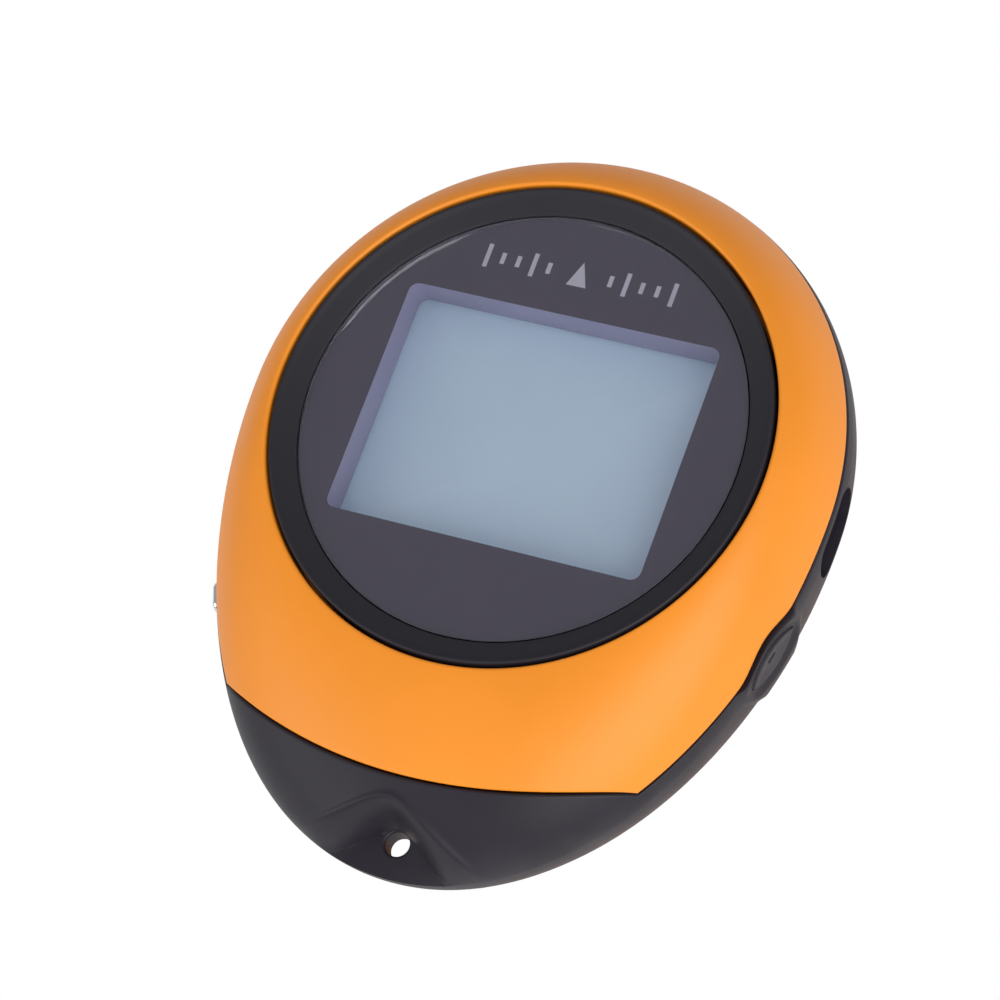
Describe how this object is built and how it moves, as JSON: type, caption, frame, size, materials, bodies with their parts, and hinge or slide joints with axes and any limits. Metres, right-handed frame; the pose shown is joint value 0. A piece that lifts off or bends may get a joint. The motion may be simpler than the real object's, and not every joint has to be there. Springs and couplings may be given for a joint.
{
  "type": "handheld gps receiver",
  "caption": "Egg-shaped pocket GPS receiver: round display in a black ring, orange shells on a black middle band, tail with a lanyard eye, sprung side keys.",
  "frame": {"origin": "middle of the body's length and width, on the flat land of its back", "axes": "+Z out of the display, +Y to the blunt top end, +X to the side with the charging port and the enter key"},
  "size_m": [0.0563, 0.0696, 0.018],
  "materials": {
    "orange_shell": "satin moulded orange plastic with a soft broad shine",
    "black_frame": "satin moulded black plastic",
    "bezel": "fine matt black plastic",
    "rubber": "matt black rubber",
    "lens": "clear polished lens with a dark printed border on its underside",
    "foam": "dark closed-cell foam tape",
    "holder": "pale grey moulded plastic",
    "lcd_glass": "grey-blue reflective liquid crystal glass, blank",
    "white_plastic": "milky white plastic",
    "board": "green solder mask",
    "ceramic": "bare fired ceramic",
    "chip": "black moulding compound",
    "steel": "bright plated steel",
    "cell_wrap": "silver laminate pouch",
    "red_lead": "red insulation",
    "black_lead": "black insulation",
    "chrome": "polished chrome plating"
  },
  "bodies": {
    "case": {"front_cover": "orange_shell", "middle_frame": "black_frame", "back_cover": "orange_shell", "bezel_ring": "bezel", "bezel_seal": "rubber", "display_lens": "lens", "lens_adhesive": "foam", "lcd_holder": "holder", "lcd_front_glass": "lcd_glass", "lcd_rear_glass": "lcd_glass", "light_guide": "white_plastic", "backlight_led_1": "white_plastic", "backlight_led_2": "white_plastic", "contact_strip": "rubber", "main_board": "board", "patch_antenna": "ceramic", "processor": "chip", "memory_chip": "chip", "compass_chip": "chip", "crystal": "steel", "shield_can": "steel", "receiver_chip": "chip", "usb_shell": "steel", "usb_tongue": "chip", "enter_switch": "chip", "power_switch": "chip", "battery_pad": "foam", "battery_cell": "cell_wrap", "battery_socket": "white_plastic", "battery_plug": "white_plastic", "battery_lead_red": "red_lead", "battery_lead_black": "black_lead", "case_screw_1": "steel", "case_screw_2": "steel", "case_screw_3": "steel", "case_screw_4": "steel", "board_screw_1": "steel", "board_screw_2": "steel", "board_screw_3": "steel", "board_screw_4": "steel"},
    "enter_key": {"enter_key": "rubber"},
    "enter_plunger": {"enter_switch_plunger": "white_plastic"},
    "power_key": {"power_key": "chrome"},
    "power_plunger": {"power_switch_plunger": "white_plastic"}
  },
  "joints": [
    {"name": "enter_key_press", "type": "slide", "parent": "case", "child": "enter_key", "axis": [-0.9742, 0.2256, 0], "range_m": [0, 0.0004], "stiffness_N_per_m": 600},
    {"name": "enter_plunger_slide", "type": "slide", "parent": "case", "child": "enter_plunger", "axis": [-0.9742, 0.2256, 0], "range_m": [0, 0.0004]},
    {"name": "power_key_press", "type": "slide", "parent": "case", "child": "power_key", "axis": [0.9314, 0.3641, 0], "range_m": [0, 0.0004], "stiffness_N_per_m": 600},
    {"name": "power_plunger_slide", "type": "slide", "parent": "case", "child": "power_plunger", "axis": [0.9314, 0.3641, 0], "range_m": [0, 0.0004]}
  ],
  "couplings": [
    {"joint": "enter_plunger_slide", "follows": "enter_key_press", "ratio": 1},
    {"joint": "power_plunger_slide", "follows": "power_key_press", "ratio": 1}
  ]
}
